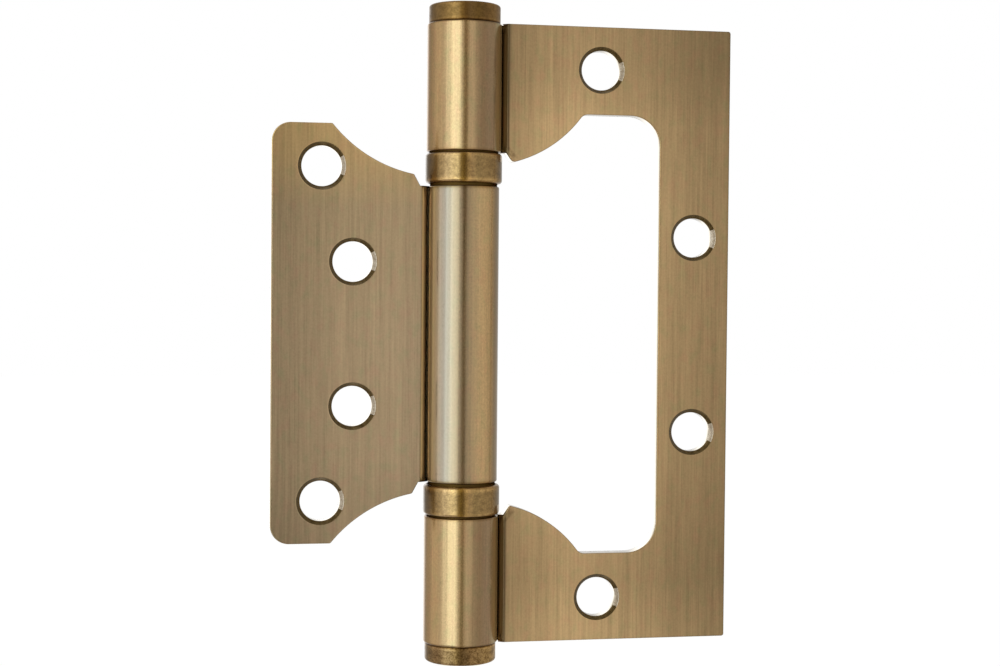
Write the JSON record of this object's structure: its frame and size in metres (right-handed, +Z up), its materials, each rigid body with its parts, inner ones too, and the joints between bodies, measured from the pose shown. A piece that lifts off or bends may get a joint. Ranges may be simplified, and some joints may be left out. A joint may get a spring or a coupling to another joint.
{
  "type": "non-mortise hinge",
  "caption": "Flat hinge whose short door leaf folds into the window of the tall frame leaf, on one pin with thrust bearings between the knuckles.",
  "frame": {"origin": "on the pin axis, at the middle of the hinge's height", "axes": "+Z up the pin, +X from the pin to the frame leaf with the hinge open flat, +Y out of the backs of the leaves, into the door and the frame"},
  "size_m": [0.075, 0.0124, 0.1054],
  "materials": {
    "bronze_leaf": "brushed steel sheet with an antique bronze plating, hairlines along the pin",
    "bronze_turned": "turned brass with a darker, mottled antique bronze finish",
    "steel_pin": "ground steel",
    "bearing_steel": "ground steel, browned by oil and grease",
    "cage_brass": "punched brass strip",
    "ball_steel": "polished bearing steel"
  },
  "bodies": {
    "frame": {"frame_leaf": "bronze_leaf", "hinge_pin": "steel_pin", "top_cap": "bronze_turned", "bottom_cap": "bronze_turned", "upper_bearing_sleeve": "bronze_turned", "lower_bearing_sleeve": "bronze_turned", "upper_frame_race": "bearing_steel", "lower_frame_race": "bearing_steel"},
    "door": {"door_leaf": "bronze_leaf", "upper_door_race": "bearing_steel", "lower_door_race": "bearing_steel"},
    "upper_balls": {"upper_ball_cage": "cage_brass", "upper_ball_1": "ball_steel", "upper_ball_2": "ball_steel", "upper_ball_3": "ball_steel", "upper_ball_4": "ball_steel", "upper_ball_5": "ball_steel", "upper_ball_6": "ball_steel", "upper_ball_7": "ball_steel", "upper_ball_8": "ball_steel"},
    "lower_balls": {"lower_ball_cage": "cage_brass", "lower_ball_1": "ball_steel", "lower_ball_2": "ball_steel", "lower_ball_3": "ball_steel", "lower_ball_4": "ball_steel", "lower_ball_5": "ball_steel", "lower_ball_6": "ball_steel", "lower_ball_7": "ball_steel", "lower_ball_8": "ball_steel"}
  },
  "joints": [
    {"name": "door_swing", "type": "hinge", "parent": "frame", "child": "door", "pos_m": [0, 0, 0], "axis": [0, 0, 1], "range_deg": [0, 180]},
    {"name": "upper_ball_orbit", "type": "hinge", "parent": "frame", "child": "upper_balls", "pos_m": [0, 0, 0.0265], "axis": [0, 0, 1], "range_deg": [0, 90]},
    {"name": "lower_ball_orbit", "type": "hinge", "parent": "frame", "child": "lower_balls", "pos_m": [0, 0, -0.0265], "axis": [0, 0, 1], "range_deg": [0, 90]}
  ],
  "couplings": [
    {"joint": "upper_ball_orbit", "follows": "door_swing", "ratio": 0.5},
    {"joint": "lower_ball_orbit", "follows": "door_swing", "ratio": 0.5}
  ]
}
